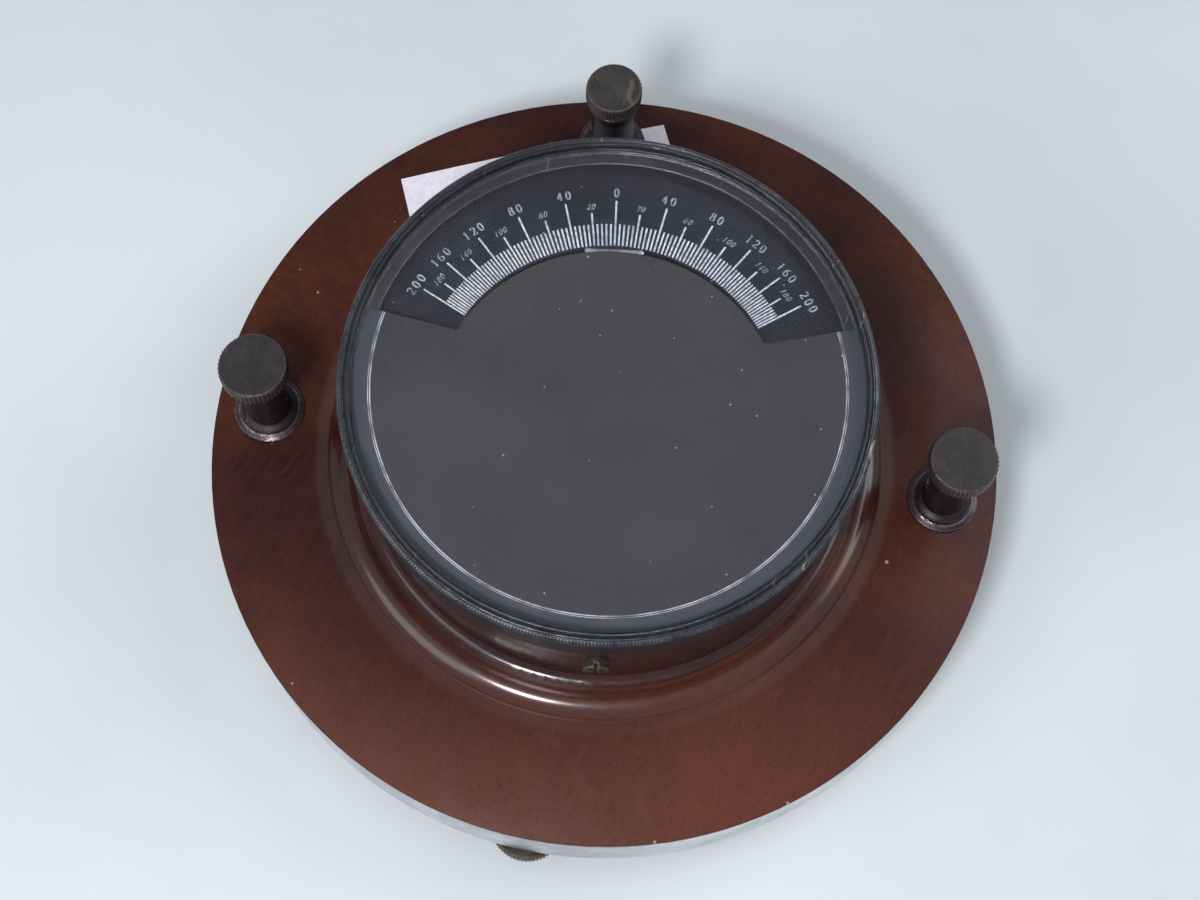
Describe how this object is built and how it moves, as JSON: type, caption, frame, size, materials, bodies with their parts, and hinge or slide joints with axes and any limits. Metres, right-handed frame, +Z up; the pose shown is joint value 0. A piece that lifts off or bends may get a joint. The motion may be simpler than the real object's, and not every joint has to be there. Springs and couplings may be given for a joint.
{
  "type": "tangent galvanometer",
  "caption": "Round table galvanometer: turned wood base on levelling screws, drum case with a glazed push-on bezel, curved scale, pivoted magnet in a coil and wire terminals.",
  "frame": {"origin": "on the table under the middle of the base, on the drum case's axis", "axes": "+Z up along the case axis, +Y towards the zero of the scale and the rear terminal, +X to the right of a reader who looks along +Y"},
  "size_m": [0.18, 0.1806, 0.0794],
  "materials": {
    "base_wood": "red-brown stained and polished hardwood",
    "drum_wood": "dark red-brown stained and polished hardwood",
    "cover_board": "plain thin hardwood board",
    "former_wood": "varnished hardwood former",
    "rim_band": "worn bright nickel plate on brass",
    "seat_black": "blackened brass",
    "seat_screw_black": "blackened brass",
    "bezel_black": "blackened brass, worn and scratched",
    "pillar_black": "blackened brass, worn at the edges",
    "washer_black": "blackened brass, worn bright at the edges",
    "head_black": "blackened brass, dull",
    "rear_head_black": "blackened brass with a grey-green cast",
    "foot_black": "blackened brass",
    "clamp_brass": "dull brass",
    "screw_brass": "plain brass",
    "inner_brass": "plain brass",
    "plate_brass": "lacquered brass",
    "ring_brass": "blackened brass",
    "small_steel": "polished steel",
    "blued_steel": "blued magnet steel",
    "arm_metal": "thin sheet metal",
    "dial_black": "matt black lacquer",
    "scale_black": "matt blue-black lacquer with pale divisions",
    "silk_wire": "green silk-covered copper wire",
    "jewel_stone": "polished garnet",
    "mica_window": "clear mica",
    "cover_glass": "clear flat glass",
    "label_paper": "plain white paper"
  },
  "bodies": {
    "case": {"base_disc": "base_wood", "rim_band": "rim_band", "base_cover": "cover_board", "base_cover_screws": "screw_brass", "levelling_bushes": "inner_brass", "case_drum": "drum_wood", "drum_screws": "screw_brass", "bezel_seat": "seat_black", "seat_screws": "seat_screw_black", "dial_card": "dial_black", "scale_plate": "scale_black", "scale_screws": "small_steel", "movement_plate": "plate_brass", "movement_screws": "small_steel", "coil_former": "former_wood", "coil_winding_left": "silk_wire", "coil_winding_right": "silk_wire", "coil_screws": "small_steel", "bridge_pillars": "inner_brass", "bearing_bridge": "plate_brass", "bridge_screws": "small_steel", "lower_bearing_screw": "small_steel", "upper_bearing_screw": "small_steel", "lower_jewel": "jewel_stone", "upper_jewel": "jewel_stone", "terminal_washers": "washer_black", "terminal_nuts": "inner_brass", "paper_label": "label_paper", "left_lead": "silk_wire", "right_lead": "silk_wire", "rear_lead": "silk_wire", "left_terminal_pillar": "pillar_black", "right_terminal_pillar": "pillar_black", "rear_terminal_pillar": "pillar_black"},
    "needle": {"needle_staff": "small_steel", "needle_magnet": "blued_steel", "pointer_arm": "arm_metal", "counterweight": "inner_brass", "index_plate": "mica_window", "index_clip": "arm_metal"},
    "bezel": {"bezel": "bezel_black", "glass": "cover_glass", "glass_ring": "ring_brass"},
    "front_levelling_screw": {"front_levelling_screw": "foot_black"},
    "front_levelling_disc": {"front_levelling_disc": "foot_black"},
    "right_rear_levelling_screw": {"right_rear_levelling_screw": "foot_black"},
    "right_rear_levelling_disc": {"right_rear_levelling_disc": "foot_black"},
    "left_rear_levelling_screw": {"left_rear_levelling_screw": "foot_black"},
    "left_rear_levelling_disc": {"left_rear_levelling_disc": "foot_black"},
    "left_clamp_screw": {"left_clamp_screw": "clamp_brass"},
    "left_clamp_head": {"left_clamp_head": "head_black"},
    "rear_clamp_screw": {"rear_clamp_screw": "clamp_brass"},
    "rear_clamp_head": {"rear_clamp_head": "rear_head_black"},
    "right_clamp_screw": {"right_clamp_screw": "clamp_brass"},
    "right_clamp_head": {"right_clamp_head": "head_black"}
  },
  "joints": [
    {"name": "needle_swing", "type": "hinge", "parent": "case", "child": "needle", "pos_m": [0, -0.0035, 0.0521], "axis": [0, 0, 1], "range_deg": [-78, 78], "stiffness_Nm_per_rad": 0.000001},
    {"name": "bezel_lift", "type": "slide", "parent": "case", "child": "bezel", "axis": [0, 0, 1], "range_m": [0, 0.015]},
    {"name": "front_levelling_travel", "type": "slide", "parent": "case", "child": "front_levelling_screw", "axis": [0, 0, 1], "range_m": [-0.0024, 0.0024]},
    {"name": "front_levelling_turn", "type": "hinge", "parent": "front_levelling_screw", "child": "front_levelling_disc", "pos_m": [-0.01388, -0.08203, 0.0072], "axis": [0, 0, 1], "range_deg": [-1083, 1083]},
    {"name": "right_rear_levelling_travel", "type": "slide", "parent": "case", "child": "right_rear_levelling_screw", "axis": [0, 0, 1], "range_m": [-0.0024, 0.0024]},
    {"name": "right_rear_levelling_turn", "type": "hinge", "parent": "right_rear_levelling_screw", "child": "right_rear_levelling_disc", "pos_m": [0.07798, 0.029, 0.0072], "axis": [0, 0, 1], "range_deg": [-1083, 1083]},
    {"name": "left_rear_levelling_travel", "type": "slide", "parent": "case", "child": "left_rear_levelling_screw", "axis": [0, 0, 1], "range_m": [-0.0024, 0.0024]},
    {"name": "left_rear_levelling_turn", "type": "hinge", "parent": "left_rear_levelling_screw", "child": "left_rear_levelling_disc", "pos_m": [-0.06411, 0.05303, 0.0072], "axis": [0, 0, 1], "range_deg": [-1083, 1083]},
    {"name": "left_clamp_travel", "type": "slide", "parent": "case", "child": "left_clamp_screw", "axis": [0, 0, 1], "range_m": [-0.0021, 0.0014]},
    {"name": "left_clamp_turn", "type": "hinge", "parent": "left_clamp_screw", "child": "left_clamp_head", "pos_m": [-0.07728, 0.00581, 0.06], "axis": [0, 0, 1], "range_deg": [-1083, 723]},
    {"name": "rear_clamp_travel", "type": "slide", "parent": "case", "child": "rear_clamp_screw", "axis": [0, 0, 1], "range_m": [-0.0021, 0.0014]},
    {"name": "rear_clamp_turn", "type": "hinge", "parent": "rear_clamp_screw", "child": "rear_clamp_head", "pos_m": [-0.00162, 0.07748, 0.06], "axis": [0, 0, 1], "range_deg": [-1083, 723]},
    {"name": "right_clamp_travel", "type": "slide", "parent": "case", "child": "right_clamp_screw", "axis": [0, 0, 1], "range_m": [-0.0021, 0.0014]},
    {"name": "right_clamp_turn", "type": "hinge", "parent": "right_clamp_screw", "child": "right_clamp_head", "pos_m": [0.07703, -0.0085, 0.06], "axis": [0, 0, 1], "range_deg": [-1083, 723]}
  ],
  "couplings": [
    {"joint": "front_levelling_turn", "follows": "front_levelling_travel", "rad_per_m": 7854},
    {"joint": "right_rear_levelling_turn", "follows": "right_rear_levelling_travel", "rad_per_m": 7854},
    {"joint": "left_rear_levelling_turn", "follows": "left_rear_levelling_travel", "rad_per_m": 7854},
    {"joint": "left_clamp_turn", "follows": "left_clamp_travel", "rad_per_m": 8976},
    {"joint": "rear_clamp_turn", "follows": "rear_clamp_travel", "rad_per_m": 8976},
    {"joint": "right_clamp_turn", "follows": "right_clamp_travel", "rad_per_m": 8976}
  ]
}
